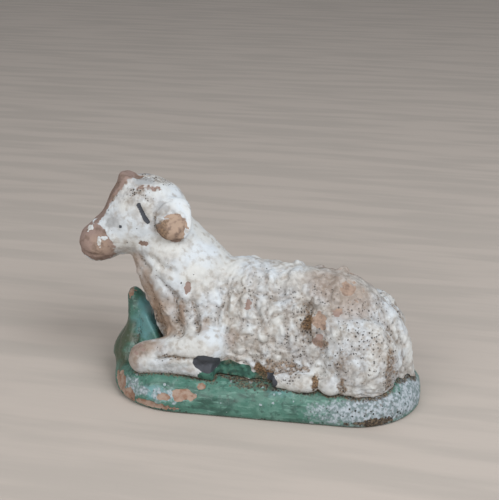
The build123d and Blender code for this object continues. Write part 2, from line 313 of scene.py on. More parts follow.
@dataclass
class Skin:
    """The surface of clay pieces that are luted together.

    Attributes:
        name: name of the whole surface while it is worked.
        nodes: the CAD nodes that it is made of.
        voxel: size of its first faces, in millimetres.
        joint_softness: rounds of smoothing over the joints.
        settle: rounds of light smoothing all over.
        crisp: nodes whose joints keep most of their crease.
        crispness: share of the smoothing that those joints get.
        joint_reach: rounds by which the smoothing spreads from a joint.
        joint_gain: how strongly it holds on there.
        label_calm: rounds that even out the line where pieces part.
    """

    name: str
    nodes: tuple[str, ...]
    voxel: float = 0.5
    joint_softness: int = 24
    settle: int = 4
    crisp: tuple[str, ...] = ()
    crispness: float = 0.12
    joint_reach: int = 12
    joint_gain: float = 4.0
    label_calm: int = 6
    body: bpy.types.Object = field(init=False)
    tree: BVHTree = field(init=False)
    owners: np.ndarray = field(init=False)

    def press(self) -> None:
        """Joins copies of the CAD nodes' meshes into one closed surface and softens the joints."""
        bpy.ops.object.select_all(action="DESELECT")
        self.tree, self.owners = surface(self.nodes)
        for node in self.nodes:
            copy = bpy.data.objects.new(f"{self.name}.{node}", frame["nodes"][node].data.copy())
            bpy.context.scene.collection.objects.link(copy)
            copy.select_set(True)
            bpy.context.view_layer.objects.active = copy
        bpy.ops.object.join()
        self.body = bpy.context.view_layer.objects.active
        self.body.name = self.name
        self.body.data.materials.clear()
        bpy.ops.object.mode_set(mode="EDIT")
        bpy.ops.mesh.select_all(action="SELECT")
        bpy.ops.mesh.remove_doubles(threshold=1e-6)
        bpy.ops.object.mode_set(mode="OBJECT")
        self.body.data.remesh_voxel_size = self.voxel * MM
        self.body.data.remesh_voxel_adaptivity = 0.0
        bpy.ops.object.voxel_remesh()
        self.keep_outside()
        self.soften()
        bpy.ops.object.modifier_add(type="SUBSURF")
        self.body.modifiers[-1].levels = 1
        self.body.modifiers[-1].render_levels = 1
        bpy.ops.object.modifier_apply(modifier=self.body.modifiers[-1].name)

    def keep_outside(self) -> None:
        """Deletes small closed shells that the joints leave inside."""
        bpy.ops.object.mode_set(mode="EDIT")
        bpy.ops.mesh.select_mode(type="VERT")
        bpy.ops.mesh.select_all(action="DESELECT")
        bpy.ops.object.mode_set(mode="OBJECT")
        points = self.points()
        self.body.data.vertices[int(points[:, 2].argmax())].select = True
        bpy.ops.object.mode_set(mode="EDIT")
        bpy.ops.mesh.select_linked()
        bpy.ops.mesh.select_all(action="INVERT")
        bpy.ops.mesh.delete(type="VERT")
        bpy.ops.object.mode_set(mode="OBJECT")

    def soften(self) -> None:
        """Smooths the surface, strongly near the joints and lightly elsewhere."""
        labels = self.labels()
        edges = self.edges()
        joint = np.zeros(len(labels))
        crease = np.zeros(len(labels))
        crossing = edges[labels[edges[:, 0]] != labels[edges[:, 1]]]
        kept = np.isin(labels, [self.nodes.index(node) for node in self.crisp])
        joint[crossing.ravel()] = 1.0
        crease[crossing[kept[crossing].any(axis=1)].ravel()] = 1.0
        joint = np.clip(self.spread(joint, edges, self.joint_reach) * self.joint_gain, 0, 1)
        crease = np.clip(self.spread(crease, edges, self.joint_reach) * self.joint_gain, 0, 1)
        joint *= 1 - (1 - self.crispness) * crease
        group = self.body.vertex_groups.new(name="joint")
        for index in np.flatnonzero(joint > 0.01):
            group.add([int(index)], float(joint[index]), "REPLACE")
        for rounds, limit in ((self.joint_softness, "joint"), (self.settle, "")):
            bpy.ops.object.modifier_add(type="SMOOTH")
            modifier = self.body.modifiers[-1]
            modifier.factor = 0.5
            modifier.iterations = rounds
            modifier.vertex_group = limit
            bpy.ops.object.modifier_apply(modifier=modifier.name)

    def edges(self) -> np.ndarray:
        """Returns the two ends of every edge."""
        ends = np.zeros(len(self.body.data.edges) * 2, np.int32)
        self.body.data.edges.foreach_get("vertices", ends)
        return ends.reshape(-1, 2)

    def spread(self, values: np.ndarray, edges: np.ndarray, rounds: int) -> np.ndarray:
        """Averages values over neighbouring points.

        Args:
            values: one value for each point.
            edges: the two ends of every edge.
            rounds: how often it is done.

        Returns:
            The averaged values.
        """
        count = np.bincount(edges.ravel(), minlength=len(values)) + 1
        for _ in range(rounds):
            total = values.copy()
            total += np.bincount(edges[:, 0], values[edges[:, 1]], len(values))
            total += np.bincount(edges[:, 1], values[edges[:, 0]], len(values))
            values = total / count
        return values

    def labels(self) -> np.ndarray:
        """Returns the number of the CAD node that is nearest to each point."""
        found = [self.tree.find_nearest(vertex.co)[2] for vertex in self.body.data.vertices]
        return self.owners[np.array(found)]

    def points(self) -> np.ndarray:
        """Returns the places of all points in millimetres."""
        flat = np.zeros(len(self.body.data.vertices) * 3)
        self.body.data.vertices.foreach_get("co", flat)
        return flat.reshape(-1, 3) / MM

    def normals(self) -> np.ndarray:
        """Returns the outward directions of all points."""
        flat = np.zeros(len(self.body.data.vertices) * 3)
        self.body.data.vertices.foreach_get("normal", flat)
        return flat.reshape(-1, 3)

    def move(self, heights: np.ndarray) -> None:
        """Moves every point along its outward direction.

        Args:
            heights: distances in millimetres.
        """
        moved = (self.points() + self.normals() * heights[:, None]) * MM
        self.body.data.vertices.foreach_set("co", moved.ravel())
        self.body.data.update()

    def pull(self, stroke: Stroke, way: Point) -> None:
        """Pulls the clay along a stroke.

        Args:
            stroke: where it is pulled.
            way: how far it is pulled along X, Y and Z, in millimetres.
        """
        points = self.points()
        moved = (points + stroke.nearness(points)[:, None] * np.array(way)) * MM
        self.body.data.vertices.foreach_set("co", moved.ravel())
        self.body.data.update()

    def store(self, name: str, values: np.ndarray) -> None:
        """Keeps one value for each point, for a finish to read.

        Args:
            name: the attribute's name.
            values: one value for each point.
        """
        attribute = self.body.data.attributes.new(name, "FLOAT", "POINT")
        attribute.data.foreach_set("value", values.astype(np.float32))

    def part(self, labels: np.ndarray, coat: Coat, finish: bpy.types.Material) -> list[bpy.types.Object]:
        """Parts the surface at its joints into closed pieces, one for each CAD node.

        Args:
            labels: number of the node that each point belongs to.
            coat: the record's slot for the pieces.
            finish: material of the pieces.

        Returns:
            The pieces.
        """
        mesh = self.body.data
        edges = self.edges()
        owned = [(labels == index) * 1.0 for index in range(len(self.nodes))]
        shares = [self.spread(share, edges, self.label_calm) for share in owned]
        labels = np.argmax(shares, axis=0)
        for node in self.nodes:
            mesh.materials.append(bpy.data.materials.new(f"parting.{node}"))
        first = np.zeros(len(mesh.polygons), np.int32)
        mesh.polygons.foreach_get("loop_start", first)
        corner = np.zeros(len(mesh.loops), np.int32)
        mesh.loops.foreach_get("vertex_index", corner)
        mesh.polygons.foreach_set("material_index", labels[corner[first]].astype(np.int32))
        bpy.ops.object.select_all(action="DESELECT")
        self.body.select_set(True)
        bpy.context.view_layer.objects.active = self.body
        bpy.ops.object.mode_set(mode="EDIT")
        bpy.ops.mesh.select_all(action="SELECT")
        bpy.ops.mesh.separate(type="MATERIAL")
        bpy.ops.object.mode_set(mode="OBJECT")
        pieces = []
        for piece in list(bpy.context.selected_objects):
            index = piece.data.polygons[0].material_index
            node = piece.data.materials[index].name.split(".")[1]
            pieces.append(self.close(piece, node, coat, finish))
        return pieces

    def close(
        self, piece: bpy.types.Object, node: str, coat: Coat, finish: bpy.types.Material
    ) -> bpy.types.Object:
        """Closes a parted piece at its joints and puts it in its node's place.

        Args:
            piece: the parted surface.
            node: the CAD node that it stands for.
            coat: the record's slot; not used.
            finish: its material.

        Returns:
            The piece.
        """
        bpy.ops.object.select_all(action="DESELECT")
        piece.select_set(True)
        bpy.context.view_layer.objects.active = piece
        piece.data.polygons.foreach_set("material_index", np.zeros(len(piece.data.polygons), np.int32))
        piece.data.materials.clear()
        piece.data.materials.append(finish)
        bpy.ops.object.mode_set(mode="EDIT")
        bpy.ops.mesh.select_mode(type="EDGE")
        bpy.ops.mesh.select_all(action="DESELECT")
        bpy.ops.mesh.select_non_manifold(
            extend=False, use_wire=False, use_multi_face=False, use_non_contiguous=False
        )
        bpy.ops.mesh.mark_sharp()
        bpy.ops.mesh.edge_face_add()
        bpy.ops.mesh.select_mode(type="FACE")
        bpy.ops.mesh.poke()
        bpy.ops.mesh.select_all(action="SELECT")
        bpy.ops.mesh.fill_holes(sides=0)
        bpy.ops.object.mode_set(mode="OBJECT")
        bpy.ops.object.shade_smooth()
        piece.name = f"{node}_clay"
        piece.data.name = piece.name
        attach(piece, "root")
        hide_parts(node)
        return piece


# Finishes


class Shading:
    """A material's nodes, laid one after another."""

    def __init__(self, name: str, gloss: float) -> None:
        """Starts a material whose pattern lies on Object coordinates.

        Args:
            name: the material's name.
            gloss: the shader's specular level.
        """
        self.material = bpy.data.materials.new(name)
        self.material.use_nodes = True
        self.tree = self.material.node_tree
        self.shader = self.tree.nodes["Principled BSDF"]
        self.shader.inputs["Specular IOR Level"].default_value = gloss
        self.place = self.tree.nodes.new("ShaderNodeTexCoord").outputs["Object"]

    def link(self, source: object, target: object) -> None:
        """Sets a socket to a constant, or joins it to another socket."""
        if isinstance(source, bpy.types.NodeSocket):
            self.tree.links.new(source, target)
        else:
            target.default_value = source

    def attribute(self, name: str) -> bpy.types.NodeSocket:
        """Reads a value that the skin keeps for each point."""
        node = self.tree.nodes.new("ShaderNodeAttribute")
        node.attribute_name = name
        return node.outputs["Fac"]

    def stretched(self, stretch: Point) -> bpy.types.NodeSocket:
        """Returns coordinates scaled along each axis."""
        node = self.tree.nodes.new("ShaderNodeMapping")
        node.inputs["Scale"].default_value = stretch
        self.link(self.place, node.inputs["Vector"])
        return node.outputs["Vector"]

    def uneven(self, reach: float) -> bpy.types.NodeSocket:
        """Returns coordinates that are shifted unevenly by up to about a reach in millimetres."""
        node = self.tree.nodes.new("ShaderNodeTexNoise")
        node.inputs["Scale"].default_value = 1 / (reach * MM)
        self.link(self.place, node.inputs["Vector"])
        shift = self.tree.nodes.new("ShaderNodeVectorMath")
        shift.operation = "MULTIPLY_ADD"
        self.link(node.outputs["Color"], shift.inputs[0])
        shift.inputs[1].default_value = (reach * MM,) * 3
        self.link(self.place, shift.inputs[2])
        return shift.outputs["Vector"]

    def noise(
        self, size: float, detail: float = 3.0, place: bpy.types.NodeSocket = None
    ) -> bpy.types.NodeSocket:
        """Lays a cloudy pattern.

        Args:
            size: size of its spots in millimetres.
            detail: number of finer layers.
            place: coordinates, where they aren't the object's own.

        Returns:
            A value from 0 to 1.
        """
        node = self.tree.nodes.new("ShaderNodeTexNoise")
        node.inputs["Scale"].default_value = 1 / (size * MM)
        node.inputs["Detail"].default_value = detail
        self.link(place or self.place, node.inputs["Vector"])
        return node.outputs["Fac"]

    def specks(self, spacing: float, radius: float, share: float) -> bpy.types.NodeSocket:
        """Scatters small round specks.

        Args:
            spacing: distance between places that may have one, in millimetres.
            radius: their radius as a share of the spacing.
            share: share of the places that have one.

        Returns:
            A value that is 1 on a speck.
        """
        node = self.tree.nodes.new("ShaderNodeTexVoronoi")
        node.inputs["Scale"].default_value = 1 / (spacing * MM)
        self.link(self.uneven(spacing * 0.5), node.inputs["Vector"])
        split = self.tree.nodes.new("ShaderNodeSeparateColor")
        self.link(node.outputs["Color"], split.inputs["Color"])
        chosen = self.step(split.outputs["Red"], 1 - share, 1.02 - share)
        size = self.math("MULTIPLY", split.outputs["Green"], radius)
        near = self.math("LESS_THAN", node.outputs["Distance"], size)
        return self.math("MULTIPLY", chosen, near)

    def math(self, action: str, first: object, second: object) -> bpy.types.NodeSocket:
        """Joins two values by a Math node."""
        node = self.tree.nodes.new("ShaderNodeMath")
        node.operation = action
        self.link(first, node.inputs[0])
        self.link(second, node.inputs[1])
        return node.outputs[0]

    def step(self, value: object, low: float, high: float, top: float = 1.0) -> bpy.types.NodeSocket:
        """Eases a value from 0 at low to top at high."""
        node = self.tree.nodes.new("ShaderNodeMapRange")
        node.interpolation_type = "SMOOTHSTEP"
        self.link(value, node.inputs["Value"])
        node.inputs["From Min"].default_value = low
        node.inputs["From Max"].default_value = high
        node.inputs["To Max"].default_value = top
        return node.outputs["Result"]

    def ragged(
        self, value: object, grain: object, amount: float, low: float, high: float
    ) -> bpy.types.NodeSocket:
        """Gives a soft mask a ragged edge.

        Args:
            value: the soft mask.
            grain: a pattern from 0 to 1.
            amount: how far the pattern moves the edge.
            low: the mask's value where it starts.
            high: the mask's value where it is full.

        Returns:
            The ragged mask.
        """
        shifted = self.math("MULTIPLY_ADD", grain, amount)
        self.link(value, shifted.node.inputs[2])
        return self.step(shifted, low + amount / 2, high + amount / 2)

    def mix(self, share: object, under: object, over: object) -> bpy.types.NodeSocket:
        """Lays a colour over another one by a share."""
        node = self.tree.nodes.new("ShaderNodeMix")
        node.data_type = "RGBA"
        self.link(share, node.inputs[0])
        self.link(under, node.inputs[6])
        self.link(over, node.inputs[7])
        return node.outputs[2]

    def blend(self, share: object, under: float, over: float) -> bpy.types.NodeSocket:
        """Returns a value that goes from under to over by a share."""
        node = self.tree.nodes.new("ShaderNodeMapRange")
        self.link(share, node.inputs["Value"])
        node.inputs["To Min"].default_value = under
        node.inputs["To Max"].default_value = over
        return node.outputs["Result"]

    def finish(self, colour: object, roughness: object, height: object, depth: float) -> bpy.types.Material:
        """Joins the pattern to the shader.

        Args:
            colour: the base colour.
            roughness: the roughness.
            height: fine relief, from 0 to 1.
            depth: height of the relief in millimetres.

        Returns:
            The material.
        """
        bump = self.tree.nodes.new("ShaderNodeBump")
        bump.inputs["Distance"].default_value = depth * MM
        self.link(height, bump.inputs["Height"])
        self.link(bump.outputs["Normal"], self.shader.inputs["Normal"])
        self.link(colour, self.shader.inputs["Base Color"])
        self.link(roughness, self.shader.inputs["Roughness"])
        return self.material


@dataclass(frozen=True)
class WhitePaint:
    """Chalky white paint over terracotta: worn places, dirt, dark paint and painted shade."""

    cream: Colour = (0.585, 0.595, 0.585, 1)
    cool: Colour = (0.575, 0.62, 0.66, 1)
    stain: Colour = (0.31, 0.27, 0.23, 1)
    # Thinned paint over the clay, which also serves as painted shade in the hollows, on the breast, at the
    # eye and next to the ground.
    fade_and_shade: Colour = (0.345, 0.30, 0.265, 1)
    fade_and_shade_dark: Colour = (0.165, 0.132, 0.108, 1)
    dust: Colour = (0.35, 0.36, 0.37, 1)
    # Dark browns for dirt, and for painted shade in the hollows, in the pressed grooves and next to the
    # ground.
    dirt_and_shade: Colour = (0.085, 0.052, 0.03, 1)
    dirt_and_shade_dry: Colour = (0.22, 0.14, 0.08, 1)
    mud: Colour = (0.30, 0.215, 0.16, 1)
    clay_pink: Colour = (0.27, 0.195, 0.17, 1)
    clay_tan: Colour = (0.37, 0.27, 0.205, 1)
    clay_dark: Colour = (0.17, 0.118, 0.092, 1)
    slate: Colour = (0.055, 0.06, 0.072, 1)
    lap: Colour = (0.055, 0.15, 0.115, 1)
    lap_deep: Colour = (0.025, 0.07, 0.055, 1)
    speck: Colour = (0.045, 0.037, 0.031, 1)

    def material(self) -> bpy.types.Material:
        """Returns the finished material."""
        shade = Shading("white_paint", gloss=0.3)
        fine = shade.noise(0.7, 4)
        broad = shade.noise(7.0, 2)
        grain = shade.noise(1.6, 4)
        dirt_and_shade = shade.attribute("dirt_and_shade")
        worn = shade.attribute("worn")
        paint = shade.mix(shade.step(broad, 0.38, 0.62), self.cream, self.cool)
        paint = shade.mix(shade.step(grain, 0.49, 0.72, 0.55), paint, self.stain)
        paint = shade.mix(shade.step(shade.noise(3.2, 4), 0.5, 0.68, 0.35), paint, self.stain)
        flaked = shade.noise(1.2, 5)
        # Thinned paint that shows the clay, and painted shade in the hollows, on the breast, at the eye and
        # next to the ground.
        under = shade.mix(shade.step(flaked, 0.42, 0.62), self.fade_and_shade_dark, self.fade_and_shade)
        faded_and_shaded = shade.math("MULTIPLY", shade.attribute("thin"), shade.blend(flaked, 1.3, 0.3))
        paint = shade.mix(faded_and_shaded, paint, under)
        coated = shade.math("MULTIPLY", shade.attribute("mud"), shade.blend(grain, 1.2, 0.5))
        paint = shade.mix(coated, paint, self.mud)
        paint = shade.mix(shade.ragged(shade.attribute("dusty"), grain, 0.5, 0.3, 0.75), paint, self.dust)
        # Dark brown over real dirt and over painted shade in the hollows, in the pressed grooves and next to
        # the ground; mud here holds that dark brown.
        soiled_and_shaded = shade.ragged(dirt_and_shade, fine, 1.0, 0.25, 0.95)
        mud = shade.mix(shade.step(shade.noise(0.45, 2), 0.4, 0.62), self.dirt_and_shade, self.dirt_and_shade_dry)
        paint = shade.mix(soiled_and_shaded, paint, mud)
        clay = shade.mix(shade.attribute("tan"), self.clay_pink, self.clay_tan)
        clay = shade.mix(shade.step(grain, 0.46, 0.68, 0.8), clay, self.clay_dark)
        clay = shade.mix(shade.math("MULTIPLY", soiled_and_shaded, 0.7), clay, mud)
        bare = shade.ragged(worn, flaked, 0.9, 0.42, 0.6)
        colour = shade.mix(bare, paint, clay)
        small = shade.specks(0.55, 0.5, 0.5)
        large = shade.specks(1.3, 0.17, 0.24)
        scatter = shade.ragged(dirt_and_shade, broad, 0.6, 0.05, 0.45)
        spotted = shade.math("MAXIMUM", shade.math("MULTIPLY", small, scatter), large)
        spotted = shade.math("MULTIPLY", spotted, shade.blend(bare, 0.9, 0.35))
        colour = shade.mix(spotted, colour, self.speck)
        grass = shade.mix(shade.step(grain, 0.42, 0.6), self.lap, self.lap_deep)
        grass = shade.mix(shade.math("MULTIPLY", soiled_and_shaded, 0.8), grass, mud)
        colour = shade.mix(shade.ragged(shade.attribute("lap"), grain, 0.6, 0.4, 0.55), colour, grass)
        dark = shade.ragged(shade.attribute("dark"), fine, 0.25, 0.42, 0.56)
        colour = shade.mix(dark, colour, self.slate)
        roughness = shade.blend(dark, 0.82, 0.55)
        relief = shade.math("SUBTRACT", fine, spotted)
        return shade.finish(colour, roughness, relief, 0.12)


@dataclass(frozen=True)
class GreenPaint:
    """Worn green paint over terracotta, with a pale bloom, dirt, painted shade and painted light."""

    green: Colour = (0.058, 0.158, 0.122, 1)
    deep: Colour = (0.028, 0.080, 0.062, 1)
    light: Colour = (0.13, 0.26, 0.215, 1)
    # A teal brighter than the paint: painted light on the mound's lobe, which the breast shades; real teal on
    # the slab.
    blue: Colour = (0.12, 0.29, 0.30, 1)
    olive: Colour = (0.052, 0.070, 0.040, 1)
    # Pale bloom; on the slab's right end it is partly a painted reflection of the light from the right.
    bloom_and_sheen: Colour = (0.37, 0.415, 0.455, 1)
    bloom_and_sheen_thin: Colour = (0.16, 0.205, 0.215, 1)
    clay: Colour = (0.33, 0.24, 0.19, 1)
    clay_dark: Colour = (0.23, 0.125, 0.08, 1)
    # Dark colours for dirt, and for painted shadow under the sheep and in the mound's grooves and crevices.
    dirt_and_shade: Colour = (0.03, 0.022, 0.016, 1)
    dirt_and_shade_dry: Colour = (0.13, 0.095, 0.06, 1)
    speck: Colour = (0.02, 0.02, 0.017, 1)

    def material(self) -> bpy.types.Material:
        """Returns the finished material."""
        shade = Shading("green_paint", gloss=0.5)
        brushed = shade.noise(2.2, 3, shade.stretched((0.35, 1, 1.3)))
        fine = shade.noise(0.6, 4)
        grain = shade.noise(1.8, 4)
        dirt_and_shade = shade.attribute("dirt_and_shade")
        paint = shade.mix(shade.step(brushed, 0.46, 0.68), self.green, self.deep)
        scratches = shade.noise(0.9, 3, shade.stretched((0.25, 1, 1.2)))
        paint = shade.mix(shade.step(shade.noise(3.4, 4), 0.5, 0.72, 0.5), paint, self.light)
        paint = shade.mix(shade.step(scratches, 0.56, 0.68, 0.75), paint, self.light)
        paint = shade.mix(shade.step(shade.noise(1.5, 5), 0.54, 0.68, 0.8), paint, self.deep)
        paint = shade.mix(shade.math("MULTIPLY", shade.specks(1.6, 0.3, 0.3), 0.7), paint, self.bloom_and_sheen)
        # Teal, brightened as painted light on the mound's shaded lobe; real teal on the slab's band.
        paint = shade.mix(shade.ragged(shade.attribute("blue"), brushed, 0.9, 0.1, 0.9), paint, self.blue)
        paint = shade.mix(shade.ragged(shade.attribute("olive"), brushed, 0.9, 0.1, 0.9), paint, self.olive)
        # Pale bloom, partly a painted reflection of the light from the right on the slab's right end.
        bloom_and_sheen = shade.ragged(shade.attribute("bloom_and_sheen"), fine, 1.1, 0.1, 0.65)
        salt = shade.mix(shade.step(shade.noise(0.9, 5), 0.4, 0.6), self.bloom_and_sheen, self.bloom_and_sheen_thin)
        paint = shade.mix(bloom_and_sheen, paint, salt)
        clay = shade.mix(shade.step(grain, 0.42, 0.64, 0.85), self.clay, self.clay_dark)
        bare = shade.ragged(shade.attribute("worn"), shade.noise(1.3, 5), 0.8, 0.42, 0.54)
        colour = shade.mix(bare, paint, clay)
        # Dark over dirt, over painted shadow under the sheep and in the mound's grooves and crevices, and
        # darker towards the bottom edge; mud here holds that colour.
        soiled_and_shaded = shade.ragged(dirt_and_shade, fine, 1.2, 0.35, 0.9)
        mud = shade.mix(shade.step(shade.noise(0.45, 2), 0.42, 0.64), self.dirt_and_shade, self.dirt_and_shade_dry)
        colour = shade.mix(soiled_and_shaded, colour, mud)
        crumbs = shade.specks(0.7, 0.42, 0.4)
        spots = shade.math("MULTIPLY", crumbs, shade.ragged(dirt_and_shade, grain, 0.9, -0.1, 0.35))
        colour = shade.mix(spots, colour, self.speck)
        rough = shade.math("MAXIMUM", shade.math("MAXIMUM", bloom_and_sheen, bare), soiled_and_shaded)
        return shade.finish(colour, shade.blend(rough, 0.36, 0.88), fine, 0.1)


# The sheep


@dataclass
class Sheep:
    """The lying sheep: its worked surface, its paint and its wear, in millimetres."""

    nodes: tuple[str, ...] = (
        "trunk",
        "neck",
        "head",
        "left_ear",
        "right_ear",
        "left_foreleg",
        "right_foreleg",
        "left_haunch",
        "right_haunch",
        "left_hind_foot",
        "right_hind_foot",
        "tail",
    )
    crisp: tuple[str, ...] = ("left_ear", "right_ear", "left_hind_foot", "right_hind_foot")
    fleece_shares: tuple[tuple[str, float], ...] = (
        ("trunk", 1.0),
        ("neck", 0.8),
        ("tail", 0.5),
        ("left_haunch", 0.6),
        ("right_haunch", 0.6),
        ("left_foreleg", 0.1),
        ("right_foreleg", 0.1),
    )
    lock_size: Point = (3.4, 7.0, 5.0)
    lock_depth: float = 0.85
    curl_size: Point = (1.9, 2.6, 2.3)
    curl_depth: float = 0.36
    chip_depth: float = 0.14
    fleece_spread: int = 40
    calm_heights: tuple[float, float] = (35.0, 28.0)
    calm_slope: float = 0.3
    calm_start: float = -13.0
    calm_end: float = -4.0
    calm_least: float = 0.12
    top_calm: float = 0.5
    top_tilt: tuple[float, float] = (0.55, 0.95)
    lock_gap: float = 0.62
    lock_middle: float = 0.55
    curl_gap: float = 0.6
    curl_middle: float = 0.6
    curl_shift: float = 50.0
    rubbed_mean: float = 0.65
    rubbed: Layers = ((0.35, 9.0, 24),)
    sway: Layers = ((1.5, 5.0, 21), (0.5, 2.2, 22))
    rise: Layers = ((2.0, 6.0, 23),)
    uneven: Layers = ((0.3, 7.0, 31), (0.12, 2.4, 32), (0.05, 0.9, 33))
    eye_edge: Layers = ((0.3, 0.7, 35),)
    lock_hollow: float = 0.9
    curl_hollow: float = 0.3
    # Strengths of the darkening in the hollows between the locks, in the pressed grooves and next to the
    # ground: dirt and thinned paint, with painted shade.
    hollow_dirt_and_shade: float = 0.34
    groove_dirt_and_shade: float = 0.5
    contact_shade: float = 0.6
    contact_reach: float = 1.6
    hollow_thin_and_shade: float = 0.8
    contact_thin_and_shade: float = 0.75
    thin_and_shade_reach: float = 2.8
    strokes: tuple[Stroke, ...] = (
        # Folds of the neck, the groove in front of the haunch and the furrow beside the tail
        Stroke(((-30.2, -7.2, 35.0), (-24.9, -10.2, 31.6), (-20.3, -11.5, 28.0)), 1.0, -0.9),
        Stroke(((-27.1, -8.9, 36.4), (-23.3, -10.0, 34.5), (-20.7, -10.2, 33.8)), 0.8, -0.6),
        Stroke(
            ((-31.6, -5.0, 32.5), (-27.5, -8.9, 27.9), (-25.4, -9.6, 22.9), (-24.8, -8.5, 16.9)), 1.1, -0.8,
        ),
        Stroke(((-20.5, -11.5, 27.5), (-19.6, -12.0, 20.5), (-18.6, -13.0, 18.5)), 1.1, -1.0),
        Stroke(((-15.6, -11.8, 26.5), (-14.6, -12.6, 21.2), (-13.4, -14.3, 18.5)), 1.0, -1.0),
        Stroke(((12.3, -9.6, 27.0), (12.3, -11.5, 23.4), (13.0, -12.6, 20.3)), 1.6, -2.4),
        Stroke(((31.0, -7.0, 25.5), (32.4, -11.0, 20.2), (33.2, -13.2, 14.5), (33.2, -12.0, 8.0)), 1.2, -0.6),
        # Ridge between forehead and cheek, crown, brow, eye, mouth and the crease under the jaw
        Stroke(
            ((-33.2, -3.9, 54.6), (-36.4, -5.3, 51.4), (-39.2, -6.4, 47.0), (-42.0, -6.9, 43.6)), 1.1, 0.5,
        ),
        Stroke(((-35.6, 0.5, 54.3), (-35.2, -2.4, 54.2)), 1.7, 0.9),
        Stroke(((-31.0, -1.0, 56.0), (-25.0, 0.0, 55.5)), 3.6, -0.8),
        Stroke(((-31.0, -7.4, 50.8), (-27.0, -7.4, 48.6)), 1.5, 0.5),
        Stroke(((-30.0, -7.8, 49.6), (-27.4, -8.0, 44.7)), 0.8, -0.35),
        Stroke(
            ((-46.6, -6.5, 36.6), (-43.0, -9.0, 35.8), (-39.6, -9.2, 35.6), (-36.8, -8.4, 35.8)), 0.6, -0.45,
        ),
        Stroke(((-37.0, -5.0, 34.6), (-33.0, -7.2, 35.2), (-28.8, -8.9, 36.6)), 1.0, -0.8),
        # Rim of the ear and the crease of the folded foreleg
        Stroke(((-18.0, -5.0, 47.6), (-17.6, -7.2, 44.3), (-19.0, -8.6, 41.6)), 0.7, 0.5),
        Stroke(((-24.0, -16.6, 12.4), (-19.2, -17.2, 13.7), (-13.8, -17.0, 13.6)), 0.7, -0.7),
    )
    bulges: tuple[Mark, ...] = (
        # The ear's pad, the muzzle and the hind pastern, raised by their strengths
        Mark((-22.2, -7.6, 46.0), (3.5, 3.4, 4.7), 0.8, 0.06, 0.16),
        Mark((-41.0, -7.0, 39.4), (4.6, 5.0, 4.4), 0.35, 0.1, 0.4),
        Mark((11.0, -16.2, 10.2), (4.4, 2.4, 2.6), 0.3, 0.3, 0.4),
    )
    kept_paint: tuple[Mark, ...] = (
        Mark((-40.2, -8.9, 39.4), (0.5, 1.2, 1.3), 1.0, 0.4),
        Mark((-38.8, -8.9, 40.4), (0.9, 1.2, 0.45), 1.0, 0.4),
        Mark((-43.4, -7.4, 42.2), (1.2, 1.6, 0.8), 1.0, 0.4),
        Mark((-18.2, -7.2, 42.2), (0.7, 2.0, 1.8), 1.0, 0.3),
        Mark((-17.6, -6.0, 46.0), (0.7, 2.4, 2.4), 1.0, 0.3),
        Mark((-24.4, -7.6, 46.2), (1.4, 2.2, 1.5), 1.0, 0.4),
    )
    bare_clay: tuple[Mark, ...] = (
        Mark((-41.6, -6.6, 38.5), (5.9, 7.0, 5.1), ragged=0.18),
        Mark((-20.8, -8.6, 43.9), (3.4, 3.6, 3.7), ragged=0.3),
        Mark((-29.6, -5.7, 53.1), (2.4, 1.2, 1.1), 0.5, 0.5, 0.4),
        Mark((-26.6, -5.2, 52.9), (2.4, 1.6, 0.8), 0.6, 0.5, 0.4),
        Mark((-33.4, -1.8, 55.2), (2.6, 2.6, 1.6), 0.8, 0.4, 0.3),
        Mark((-28.9, -7.7, 39.5), (1.5, 1.2, 0.6)),
        Mark((-17.1, -11.0, 30.2), (0.8, 1.2, 1.5)),
        Mark((15.3, -10.9, 24.8), (1.8, 1.6, 2.4), 0.9, 0.5, 0.3),
        Mark((16.0, -12.4, 20.4), (1.4, 1.6, 2.4), 0.62, 0.5, 0.4),
        Mark((17.0, -4.0, 31.6), (4.6, 5.0, 4.0), 0.36, 0.4, 0.5),
        Mark((23.0, -4.6, 30.0), (4.6, 5.0, 4.0), 0.42, 0.4, 0.5),
        Mark((21.4, -4.4, 30.9), (1.6, 1.8, 1.7), 0.9, 0.4),
        Mark((19.4, -9.5, 26.6), (1.5, 1.2, 0.9), 0.8, 0.5),
        Mark((-2.3, -10.3, 27.0), (0.9, 1.4, 1.3), 0.7, 0.5, 0.4),
        Mark((-28.8, -14.2, 13.8), (3.0, 2.6, 2.2), 0.5, 0.4, 0.4),
    )
    mud: tuple[Mark, ...] = (
        Mark((-31.6, -4.6, 33.0), (2.6, 4.2, 3.6), 0.9, 0.3, 0.5),
        Mark((-30.4, -4.6, 28.6), (2.6, 4.6, 4.6), 0.9, 0.3, 0.5),
        Mark((-28.4, -4.8, 23.4), (2.6, 4.6, 4.6), 0.8, 0.3, 0.5),
        Mark((-28.0, -8.0, 28.6), (2.8, 3.4, 4.6), 0.85, 0.3, 0.5),
        Mark((-26.0, -9.4, 24.0), (3.0, 3.8, 4.8), 0.95, 0.3, 0.5),
        Mark((-23.4, -10.2, 19.4), (3.0, 3.6, 4.0), 0.95, 0.3, 0.5),
        Mark((-18.6, -12.2, 23.4), (1.1, 2.0, 3.6), 0.75, 0.3, 0.5),
        Mark((-30.2, -14.8, 11.4), (2.4, 3.4, 3.6), 0.7, 0.4, 0.5),
        Mark((-27.0, -14.2, 15.0), (4.4, 2.4, 2.0), 0.7, 0.4, 0.5),
        Mark((-12.6, -13.0, 20.0), (1.2, 2.0, 2.6), 0.6, 0.4, 0.5),
        Mark((-5.4, -13.4, 18.8), (1.6, 2.0, 3.0), 0.5, 0.4, 0.5),
        Mark((17.0, -4.4, 31.0), (6.0, 5.5, 4.5), 0.5, 0.4, 0.6),
        Mark((22.0, -6.0, 28.4), (5.0, 5.0, 4.6), 0.5, 0.4, 0.6),
        Mark((-22.0, -11.0, 23.0), (3.4, 2.4, 4.6), 0.55, 0.4, 0.6),
    )
